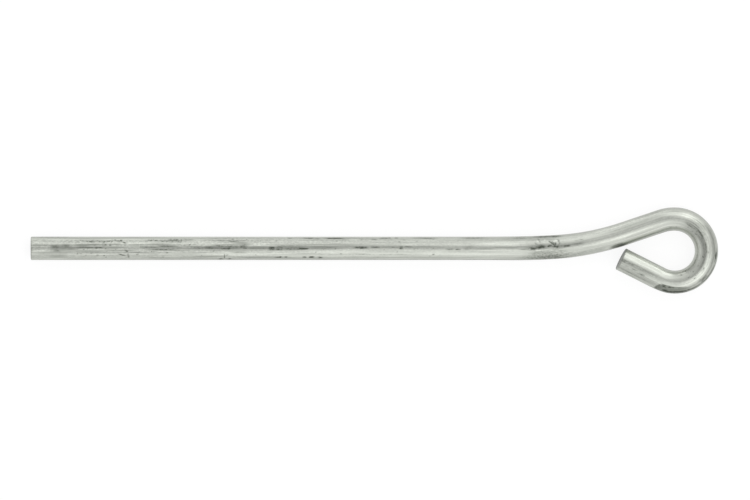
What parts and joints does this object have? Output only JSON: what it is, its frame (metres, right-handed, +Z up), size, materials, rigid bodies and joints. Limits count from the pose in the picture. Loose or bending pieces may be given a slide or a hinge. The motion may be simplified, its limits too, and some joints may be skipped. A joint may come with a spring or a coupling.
{
  "type": "ceiling hanger rod",
  "caption": "Round zinc-coated steel wire with a straight shank, a gently offset neck and an open eye: hangs a ceiling grid from an anchor, with a spring clip on its shank.",
  "frame": {"origin": "centre of the eye, at the middle of the wire's thickness", "axes": "+Z up, square to the flat eye as the wire lies; +X from the shank towards the crown of the eye; +Y to the side where the ramp rises"},
  "size_m": [0.1175, 0.0148, 0.004],
  "materials": {
    "zinc_wire": "semi-gloss zinc coat over drawn wire, with lengthwise die lines and scuffs"
  },
  "bodies": {
    "root": {"hanger_rod": "zinc_wire"}
  },
  "joints": []
}
